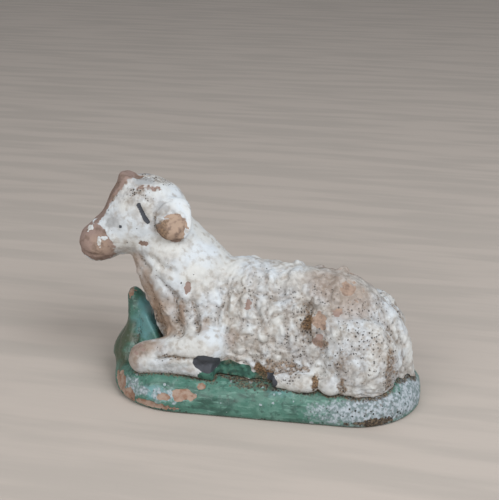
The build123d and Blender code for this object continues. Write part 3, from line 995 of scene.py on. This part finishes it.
    # Thinned paint that shows the clay; the marks on the breast and the one at the eye are painted shade.
    thin_paint_and_shade: tuple[Mark, ...] = (
        Mark((17.0, -4.6, 30.6), (7.0, 6.5, 6.0), 0.85, 0.3, 0.5),
        Mark((23.5, -5.0, 28.5), (5.5, 6.0, 5.5), 0.75, 0.3, 0.5),
        Mark((17.5, -9.0, 27.0), (5.0, 4.0, 5.0), 0.7, 0.4, 0.5),
        Mark((15.5, -11.8, 22.0), (4.0, 3.5, 5.5), 0.8, 0.4, 0.5),
        Mark((-27.6, -7.6, 28.0), (2.6, 3.4, 4.4), 0.95, 0.3, 0.5),
        Mark((-26.2, -8.6, 23.4), (3.2, 4.2, 5.0), 1.0, 0.3, 0.5),
        Mark((-23.6, -9.6, 18.6), (3.0, 3.6, 4.4), 1.0, 0.3, 0.5),
        Mark((-18.6, -12.2, 23.6), (1.1, 2.0, 4.0), 1.0, 0.3, 0.5),
        Mark((-19.6, -12.0, 21.0), (1.8, 2.5, 4.5), 0.8, 0.4, 0.6),
        Mark((-14.2, -12.6, 21.4), (1.5, 2.4, 4.0), 0.7, 0.4, 0.6),
        Mark((-5.0, -13.4, 18.6), (2.4, 2.6, 4.0), 0.7, 0.4, 0.6),
        Mark((-2.3, -10.3, 27.0), (2.0, 2.6, 2.6), 0.6, 0.4, 0.6),
        Mark((3.0, -9.8, 28.0), (2.4, 2.6, 2.6), 0.5, 0.4, 0.6),
        Mark((7.3, -6.6, 31.8), (3.0, 3.0, 2.0), 0.6, 0.4, 0.6),
        Mark((22.6, -16.0, 15.0), (3.0, 2.4, 4.4), 0.75, 0.4, 0.6),
        Mark((33.0, -11.0, 14.0), (2.4, 4.0, 9.0), 0.6, 0.4, 0.6),
        Mark((-24.0, -6.8, 47.8), (2.6, 2.2, 2.4), 0.6, 0.4, 0.6),
        Mark((-30.0, -4.4, 54.0), (3.4, 2.4, 1.8), 0.6, 0.4, 0.6),
        Mark((-35.0, -6.4, 51.2), (2.0, 1.6, 3.6), 0.45, 0.4, 0.6),
        Mark((-29.0, -14.4, 13.6), (3.8, 2.8, 3.0), 0.95, 0.4, 0.6),
        Mark((-33.0, -7.6, 36.6), (4.6, 2.4, 1.8), 0.6, 0.4, 0.6),
        Mark((-31.4, -6.8, 51.6), (3.0, 1.6, 2.2), 0.6, 0.5, 0.6),
        Mark((-26.0, -6.6, 50.4), (3.0, 2.0, 2.4), 0.4, 0.5, 0.6),
        Mark((-36.4, -8.0, 45.0), (2.4, 1.6, 2.4), 0.45, 0.5, 0.6),
        Mark((-25.6, -8.0, 44.4), (1.6, 2.0, 3.4), 0.6, 0.4, 0.6),
        Mark((-22.0, -17.0, 14.6), (6.0, 2.0, 1.6), 0.6, 0.5, 0.6),
        Mark((-20.0, -17.4, 10.6), (7.0, 2.0, 1.4), 0.55, 0.5, 0.6),
        Mark((10.0, -16.4, 11.6), (4.6, 2.0, 1.8), 0.5, 0.5, 0.6),
        Mark((18.8, -16.4, 11.2), (2.0, 2.0, 2.0), 0.5, 0.5, 0.6),
        Mark((-28.8, -8.0, 47.4), (2.4, 1.4, 3.2), 0.4, 0.5, 0.6),
        Mark((-22.0, -10.0, 36.6), (5.0, 2.4, 2.0), 0.4, 0.5, 0.6),
    )
    green_lap: tuple[Mark, ...] = (
        Mark((-4.4, -14.4, 10.8), (4.4, 2.6, 2.3), 1.0, 0.3, 0.25),
        Mark((1.0, -14.6, 9.4), (3.0, 2.4, 1.4), 0.9, 0.4, 0.25),
        Mark((-9.6, -16.6, 9.4), (4.0, 3.6, 1.7), 1.0, 0.3, 0.25),
    )
    tan_clay: tuple[Mark, ...] = (
        Mark((-20.4, -8.6, 44.4), (3.6, 4.2, 4.6)),
        Mark((-39.6, -9.0, 37.8), (3.0, 2.4, 2.8), 0.6, 0.3, 0.6),
        Mark((20.0, -4.4, 30.0), (6.0, 6.0, 5.0), 0.7),
        Mark((15.3, -10.9, 24.6), (2.4, 2.4, 3.4), 0.7),
    )
    # Dirt, with painted shade where the marks darken the breast, the belly next to the ground, the groove
    # before the haunch and the hind foot's recesses.
    dirty_and_shaded: tuple[Mark, ...] = (
        Mark((12.4, -11.0, 24.2), (1.8, 2.2, 3.9), 1.0, 0.3, 0.45),
        Mark((21.6, -15.8, 16.6), (2.2, 2.2, 3.6), 0.55, 0.4, 0.6),
        Mark((17.0, -12.6, 19.4), (2.4, 2.4, 2.2), 0.7, 0.4, 0.6),
        Mark((2.6, -14.2, 11.0), (3.2, 2.6, 2.2), 1.0, 0.5, 0.4),
        Mark((7.5, -14.0, 13.0), (6.0, 2.6, 1.5), 0.7, 0.5, 0.5),
        Mark((-6.0, -14.2, 13.4), (2.6, 2.4, 1.4), 0.55, 0.5, 0.6),
        Mark((-25.2, -9.0, 19.0), (3.0, 4.0, 7.0), 0.55, 0.4, 0.7),
        Mark((-19.4, -12.0, 20.5), (1.6, 2.4, 4.0), 0.5, 0.4, 0.6),
        Mark((-30.5, -6.5, 52.3), (2.4, 1.2, 1.2), 0.5, 0.5, 0.5),
        Mark((-32.6, -6.9, 50.6), (2.8, 1.4, 1.9), 0.4, 0.5, 0.6),
        Mark((-28.2, -6.9, 50.2), (2.4, 1.4, 1.6), 0.34, 0.5, 0.6),
        Mark((-23.2, -9.0, 43.9), (1.8, 2.2, 2.3), 0.85, 0.4, 0.4),
        Mark((-25.6, -8.0, 45.0), (0.9, 1.6, 3.2), 0.6, 0.5, 0.5),
        Mark((-19.0, -17.0, 13.7), (3.6, 1.2, 0.7), 0.7, 0.5, 0.5),
        Mark((-37.4, -4.0, 51.2), (2.4, 2.6, 5.0), 0.62, 0.5, 0.6),
        Mark((15.6, -15.8, 10.6), (0.9, 2.4, 2.2), 0.95, 0.4, 0.5),
        Mark((21.8, -15.8, 10.4), (1.2, 2.4, 2.4), 0.7, 0.4, 0.5),
        Mark((10.0, -16.4, 11.0), (3.6, 1.6, 1.6), 0.35, 0.5, 0.6),
        Mark((33.0, -12.6, 14.0), (1.7, 3.4, 8.0), 0.68, 0.4, 0.6),
        Mark((32.4, -7.6, 21.0), (1.7, 4.4, 4.6), 0.55, 0.4, 0.6),
        Mark((28.0, -13.0, 19.0), (7.0, 6.0, 10.0), 0.4, 0.4, 0.6),
        Mark((18.0, -15.0, 15.0), (4.0, 4.0, 5.0), 0.34, 0.4, 0.6),
    )
    dusty: tuple[Mark, ...] = (
        Mark((-29.8, -4.0, 54.8), (2.6, 2.2, 1.2), 0.9),
        Mark((-24.3, -6.0, 48.7), (1.7, 1.6, 1.5), 0.6, 0.4, 0.5),
        Mark((-36.5, -8.2, 44.6), (2.6, 1.6, 1.6), 0.6),
        Mark((-25.0, -10.0, 31.0), (3.0, 2.0, 2.6), 0.5),
    )
    dark: tuple[Mark, ...] = (
        Mark((-34.5, -8.6, 43.8), (0.42, 0.7, 0.42), 1.0, 0.1),
        Mark((-11.2, -16.4, 13.0), (3.3, 4.2, 2.5), 1.0, 0.14),
        Mark((4.8, -15.8, 9.6), (1.8, 2.6, 2.0), 1.0, 0.25),
    )
    eye: Stroke = Stroke(((-29.9, -7.8, 49.3), (-28.9, -8.1, 47.3), (-27.6, -7.9, 45.1)), 0.58)
    forehead: tuple[Stroke, ...] = (
        Stroke(((-33.0, -2.0, 55.2), (-35.2, -4.4, 53.2), (-37.6, -5.0, 50.0)), 1.9),
        Stroke(((-37.6, -5.0, 50.0), (-39.6, -5.0, 47.0), (-42.0, -5.8, 44.2)), 1.8),
        Stroke(((-33.2, -0.6, 55.6), (-36.4, -2.2, 53.4), (-39.4, -3.2, 49.4), (-42.0, -4.0, 45.6)), 2.2),
    )
    skull: Point = (-29.7, 0.0, 45.5)
    head_turn: float = 18.0
    head_low: float = 36.0
    head_rear: float = -17.0
    ear_front: float = -24.9
    far_ear_shift: Point = (-1.7, -0.6, -1.1)

    def build(self) -> list[bpy.types.Object]:
        """Presses, carves and paints the sheep, and parts it into its pieces.

        Returns:
            The pieces.
        """
        skin = Skin("sheep", self.nodes, crisp=self.crisp)
        skin.press()
        labels = skin.labels()
        edges = skin.edges()
        points = skin.points()
        fleece = np.zeros(len(labels))
        for node, share in self.fleece_shares:
            fleece[labels == self.nodes.index(node)] = share
        fleece = skin.spread(fleece, edges, self.fleece_spread)
        calm = ramp(points[:, 2] - self.calm_slope * (points[:, 0] - self.calm_start), *self.calm_heights)
        shorn = self.calm_least + (1 - self.calm_least) * calm
        fleece *= np.where(points[:, 0] < self.calm_end, shorn, 1.0)
        fleece *= 1 - self.top_calm * ramp(skin.normals()[:, 2], *self.top_tilt)
        wool, hollow = self.fleece_relief(points)
        worn = self.both_sides(self.bare_clay, points)
        for stroke in self.forehead:
            worn = np.maximum(worn, stroke.nearness(points))
            worn = np.maximum(worn, self.mirrored_stroke(stroke).nearness(points))
        worn *= 1 - self.both_sides(self.kept_paint, points)
        carved = pressed(self.strokes, points) + pressed(self.far_strokes(), points)
        heights = wool * fleece
        heights += carved
        heights += covered(self.bulges, points) + covered(self.far_side(self.bulges), points)
        heights += layered(self.uneven, points)
        heights -= self.chip_depth * chipped(worn, points, 34)
        skin.move(heights)
        # Darkening in the hollows between the locks, in the pressed grooves and next to the ground is painted
        # shade, mixed with the listed dirt.
        dirt_and_shade = np.maximum(self.hollow_dirt_and_shade * hollow * fleece, self.groove_dirt_and_shade * ramp(carved, -0.15, -0.9))
        dirt_and_shade = np.maximum(dirt_and_shade, self.both_sides(self.dirty_and_shaded, points))
        dirt_and_shade = np.maximum(dirt_and_shade, self.contact_shade * closeness(points, GROUND_NODES, self.contact_reach))
        # Thinned paint, with painted shade in the hollows, on the breast, at the eye and next to the ground.
        thin = np.maximum(self.hollow_thin_and_shade * hollow * fleece, self.both_sides(self.thin_paint_and_shade, points))
        thin = np.maximum(thin, self.contact_thin_and_shade * closeness(points, GROUND_NODES, self.thin_and_shade_reach))
        eyes = self.eye.nearness(points) + self.mirrored_stroke(self.eye).nearness(points)
        eyes = ramp(eyes + layered(self.eye_edge, points), 0.3, 0.6)
        skin.store("worn", worn)
        skin.store("tan", self.both_sides(self.tan_clay, points))
        skin.store("dirt_and_shade", dirt_and_shade)
        skin.store("thin", thin)
        skin.store("mud", self.both_sides(self.mud, points))
        skin.store("lap", self.both_sides(self.green_lap, points))
        skin.store("dusty", self.both_sides(self.dusty, points))
        skin.store("dark", np.maximum(self.both_sides(self.dark, points), eyes))
        return skin.part(labels, Coat.WHITE, WhitePaint().material())

    def fleece_relief(self, points: np.ndarray) -> tuple[np.ndarray, np.ndarray]:
        """Lays wavy locks of fleece that hang down the sides.

        Args:
            points: places in millimetres, one row each.

        Returns:
            The relief in millimetres, and how deep between the locks each point lies, from 0 to 1.
        """
        wavy = points.copy()
        wavy[:, 0] += layered(self.sway, points)
        wavy[:, 2] += layered(self.rise, points)
        nearest, second = tufts(wavy, self.lock_size, 41)
        lock = ramp(second - nearest, 0.0, self.lock_gap)
        near_curl, second_curl = tufts(wavy + self.curl_shift, self.curl_size, 51)
        curl = ramp(second_curl - near_curl, 0.0, self.curl_gap)
        rubbed = self.rubbed_mean + layered(self.rubbed, points)
        relief = self.lock_depth * rubbed * (lock - self.lock_middle)
        relief = relief + self.curl_depth * (curl - self.curl_middle)
        hollow = np.clip(self.lock_hollow * (1 - lock) ** 2 + self.curl_hollow * (1 - curl) ** 2, 0, 1)
        return relief, hollow

    def mirrored(self, point: Point) -> Point:
        """Finds the place on the far side that answers to a place on the near side.

        Args:
            point: the place on the near side.

        Returns:
            Its mirror image, on the head in the turned head's own middle plane.
        """
        place = np.array(point)
        turn = math.radians(self.head_turn if place[2] > self.head_low and place[0] < self.head_rear else 0.0)
        side = np.array((math.sin(turn), -math.cos(turn), 0.0))
        middle = np.array(self.skull)
        image = place - 2 * ((place - middle) @ side) * side
        if turn and place[0] > self.ear_front:
            image += np.array(self.far_ear_shift)
        return tuple(image)

    def mirrored_stroke(self, stroke: Stroke) -> Stroke:
        """Returns a stroke's counterpart on the far side."""
        return Stroke(tuple(self.mirrored(point) for point in stroke.path), stroke.width, stroke.depth)

    def far_strokes(self) -> tuple[Stroke, ...]:
        """Returns the strokes' counterparts on the far side."""
        return tuple(self.mirrored_stroke(stroke) for stroke in self.strokes)

    def far_side(self, marks: tuple[Mark, ...]) -> tuple[Mark, ...]:
        """Returns marks' counterparts on the far side."""
        return tuple(
            Mark(self.mirrored(mark.at), mark.size, mark.strength, mark.ragged, mark.soft) for mark in marks
        )

    def both_sides(self, marks: tuple[Mark, ...], points: np.ndarray) -> np.ndarray:
        """Returns the strongest cover that the marks and their counterparts give each point."""
        return np.maximum(covered(marks, points), covered(self.far_side(marks), points))


# The ground


@dataclass
class Ground:
    """The green ground with its grass mound, in millimetres."""

    nodes: tuple[str, ...] = GROUND_NODES
    chip_depth: float = 0.25
    uneven: Layers = ((0.45, 8.0, 61), (0.24, 2.8, 62), (0.1, 1.1, 63))
    flat_foot: tuple[float, float] = (0.3, 1.6)
    # The paint grows darker towards the bottom edge and in the pressed grooves, and painted shadow lies where
    # the sheep rests on the ground.
    darker_foot: tuple[float, float] = (1.6, 0.2)
    groove_dirt_and_shade: float = 0.4
    foot_darkening: float = 0.5
    contact_shade: float = 0.8
    contact_reach: float = 1.8
    strokes: tuple[Stroke, ...] = (
        Stroke(((-32.4, -3.0, 16.4), (-33.0, -6.1, 11.9), (-33.7, -9.5, 8.4)), 1.3, -1.5),
        Stroke(((-37.6, 0.5, 16.0), (-38.8, -2.5, 11.0), (-38.0, -7.0, 8.0)), 1.2, -0.5),
        Stroke(((3.0, -17.4, 8.8), (14.0, -18.0, 8.8), (27.0, -16.6, 8.8)), 1.6, 0.8),
    )
    lobe: Stroke = Stroke(((-30.4, -1.0, 16.8), (-28.6, -2.0, 14.2), (-27.4, -3.2, 12.2)), 2.6)
    lobe_pull: Point = (0.9, -4.2, 1.7)
    worn: tuple[Mark, ...] = (
        Mark((-34.8, -13.0, 3.8), (3.0, 3.6, 2.6), 1.0, 0.4),
        Mark((-31.4, -16.4, 2.2), (3.0, 2.6, 1.5), 0.9, 0.4),
        Mark((-16.8, -19.2, 5.0), (3.0, 2.0, 1.5)),
        Mark((-12.4, -17.4, 7.1), (1.0, 1.2, 0.8)),
        Mark((-24.0, -19.0, 1.6), (7.0, 2.0, 0.9), 0.9),
        Mark((-35.8, 0.4, 22.8), (1.1, 1.4, 1.8), 0.9, 0.4),
        Mark((-21.5, -19.6, 4.2), (2.2, 1.2, 0.9), 0.6),
    )
    # Pale bloom on the paint. The first two marks, on the slab's right end, are partly a painted reflection
    # of the light from the right.
    bloom_and_sheen: tuple[Mark, ...] = (
        Mark((29.5, -13.5, 4.2), (9.0, 8.0, 3.6), 0.95, 0.3, 0.5),
        Mark((37.0, -5.0, 4.6), (5.0, 10.0, 4.0), 0.9, 0.3, 0.5),
        Mark((20.5, -16.8, 3.0), (7.0, 5.0, 3.0), 0.45, 0.4, 0.8),
        Mark((-27.0, -18.0, 4.6), (2.4, 2.0, 1.4), 0.6, 0.4, 0.5),
        Mark((-30.5, -15.8, 4.4), (3.6, 3.2, 2.0), 0.5, 0.4, 0.5),
        Mark((-21.0, -19.2, 4.8), (4.0, 2.0, 1.8), 0.5, 0.4, 0.5),
    )
    # Soot and dirt at the slab's right end; the marks along the sheep's belly and at the mound's foot and
    # crevices are painted shadow.
    soot_and_shade: tuple[Mark, ...] = (
        Mark((30.0, -15.4, 1.4), (8.5, 4.0, 1.3), 1.0, 0.4, 0.4),
        Mark((30.0, -14.0, 5.0), (10.0, 8.0, 4.0), 0.42, 0.4, 0.6),
        Mark((2.4, -16.0, 8.0), (2.6, 1.8, 1.2), 0.8, 0.5, 0.5),
        Mark((-2.6, -16.4, 8.8), (4.5, 2.4, 1.8), 0.7, 0.5, 0.5),
        Mark((16.0, -15.8, 8.0), (9.0, 1.6, 1.0), 0.6, 0.5, 0.5),
        Mark((-31.0, -10.0, 9.0), (3.0, 3.0, 2.0), 0.5, 0.4, 0.6),
        Mark((-32.8, -5.2, 13.0), (1.2, 2.6, 3.6), 0.6, 0.4, 0.6),
        Mark((-27.0, -5.4, 12.0), (1.6, 3.0, 1.6), 0.5, 0.4, 0.6),
    )
    # Teal paint. The first mark is painted light that brightens the mound's lobe in the breast's shade; the
    # others are teal on the slab.
    blue: tuple[Mark, ...] = (
        Mark((-30.6, -1.6, 16.6), (3.4, 4.4, 5.4), 0.95, 0.4, 0.6),
        Mark((-23.5, -19.2, 4.4), (4.5, 2.0, 1.6), 0.9, 0.4, 0.6),
        Mark((8.0, -16.5, 7.0), (3.5, 2.0, 1.2), 0.4, 0.4, 0.6),
    )
    olive: tuple[Mark, ...] = (
        Mark((-38.0, -5.0, 10.0), (4.6, 8.0, 7.0), 1.0, 0.5, 0.8),
        Mark((-36.5, 6.0, 10.0), (4.0, 7.0, 6.0), 0.6, 0.5, 0.8),
    )

    def build(self) -> list[bpy.types.Object]:
        """Presses, carves and paints the ground, and parts it into its pieces.

        Returns:
            The pieces.
        """
        skin = Skin("ground", self.nodes, voxel=0.6, joint_softness=28)
        skin.press()
        labels = skin.labels()
        points = skin.points()
        worn = covered(self.worn, points)
        carved = pressed(self.strokes, points)
        heights = layered(self.uneven, points)
        heights += carved
        heights -= self.chip_depth * chipped(worn, points, 64)
        skin.move(heights * ramp(points[:, 2], *self.flat_foot))
        skin.pull(self.lobe, self.lobe_pull)
        # Soot and dirt, darkening in the pressed grooves and towards the bottom edge, and painted shadow next
        # to the sheep.
        dirt_and_shade = np.maximum(covered(self.soot_and_shade, points), self.groove_dirt_and_shade * ramp(carved, -0.2, -0.9))
        dirt_and_shade = np.maximum(dirt_and_shade, self.foot_darkening * ramp(points[:, 2], *self.darker_foot))
        dirt_and_shade = np.maximum(dirt_and_shade, self.contact_shade * closeness(points, Sheep.nodes, self.contact_reach))
        skin.store("worn", worn)
        skin.store("bloom_and_sheen", covered(self.bloom_and_sheen, points))
        skin.store("dirt_and_shade", dirt_and_shade)
        skin.store("blue", covered(self.blue, points))
        skin.store("olive", covered(self.olive, points))
        return skin.part(labels, Coat.GREEN, GreenPaint().material())


# Floor, light and camera


@dataclass(frozen=True)
class Lamp:
    """A soft square lamp.

    Attributes:
        name: its name.
        place: where it hangs.
        size: its side.
        power: its power in watts.
        tint: its colour.
    """

    name: str
    place: Point
    size: float
    power: float
    tint: Point


@dataclass(frozen=True)
class Studio:
    """A pale floor, soft light and the camera, in millimetres and degrees."""

    floor_half: float = 900.0
    floor_pale: Colour = (0.50, 0.445, 0.40, 1)
    floor_shade: Colour = (0.45, 0.405, 0.365, 1)
    aim: Point = (-0.5, 0.0, 23.0)
    azimuth: float = 12.0
    elevation: float = 24.0
    distance: float = 253.0
    view_angle: float = 28.0
    picture_width: float = 499.0
    aim_right: float = 14.5
    aim_down: float = 52.8
    clip_near: float = 10.0
    clip_far: float = 10000.0
    lamps: tuple[Lamp, ...] = (
        Lamp("window_light", (420.0, -330.0, 520.0), 420.0, 4.2, (0.96, 0.98, 1.0)),
        Lamp("front_light", (-200.0, -520.0, 340.0), 500.0, 1.9, (1.0, 0.98, 0.95)),
    )
    world_colour: Colour = (0.80, 0.81, 0.83, 1)
    world_strength: float = 0.46

    def floor(self) -> bpy.types.Object:
        """Lays the floor that the figure stands on.

        Returns:
            The floor.
        """
        bpy.ops.object.select_all(action="DESELECT")
        bpy.ops.mesh.primitive_plane_add(size=2 * self.floor_half * MM)
        ground = bpy.context.active_object
        ground.name = "studio_floor"
        shade = Shading("studio_floor", gloss=0.2)
        streaks = shade.noise(9.0, 4, shade.stretched((0.12, 1, 1)))
        colour = shade.mix(shade.step(streaks, 0.4, 0.62), self.floor_pale, self.floor_shade)
        ground.data.materials.append(shade.finish(colour, shade.blend(streaks, 0.7, 0.85), streaks, 0.2))
        return ground

    def hang(self, lamp: Lamp) -> None:
        """Hangs a lamp so that it points at the figure."""
        bpy.ops.object.light_add(type="AREA", location=Vector(lamp.place) * MM)
        light = bpy.context.active_object
        light.name = lamp.name
        light.data.size = lamp.size * MM
        light.data.energy = lamp.power
        light.data.color = lamp.tint
        light.rotation_euler = (Vector(self.aim) - Vector(lamp.place)).to_track_quat("-Z", "Y").to_euler()

    def light(self) -> None:
        """Hangs the lamps and sets the world's even light."""
        for lamp in self.lamps:
            self.hang(lamp)
        world = bpy.data.worlds.new("studio")
        world.use_nodes = True
        background = world.node_tree.nodes["Background"]
        background.inputs["Color"].default_value = self.world_colour
        background.inputs["Strength"].default_value = self.world_strength
        bpy.context.scene.world = world

    def camera(self) -> None:
        """Places the camera at the picture's angle, turned so that the figure lies where it does there."""
        turn = math.radians(self.azimuth)
        rise = math.radians(self.elevation)
        back = Vector((math.sin(turn) * math.cos(rise), -math.cos(turn) * math.cos(rise), math.sin(rise)))
        right = Vector((math.cos(turn), math.sin(turn), 0))
        up = back.cross(right)
        focal = self.picture_width / 2 / math.tan(math.radians(self.view_angle) / 2)
        ahead = -back - right * (self.aim_right / focal) + up * (self.aim_down / focal)
        bpy.ops.object.camera_add(location=(Vector(self.aim) + back * self.distance) * MM)
        camera = bpy.context.active_object
        camera.rotation_euler = ahead.to_track_quat("-Z", "Y").to_euler()
        camera.data.sensor_fit = "HORIZONTAL"
        camera.data.angle = math.radians(self.view_angle)
        camera.data.clip_start = self.clip_near * MM
        camera.data.clip_end = self.clip_far * MM
        bpy.context.scene.camera = camera
        bpy.context.scene.view_settings.view_transform = "Standard"


def main() -> None:
    """Builds the figure and its studio, and reports each piece."""
    logging.basicConfig(level=logging.INFO)
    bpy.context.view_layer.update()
    for maker in (Sheep(), Ground()):
        for piece in maker.build():
            LOG.info("%s: %d faces", piece.name, len(piece.data.polygons))
    studio = Studio()
    studio.floor()
    studio.light()
    studio.camera()


if __name__ == "__main__":
    main()
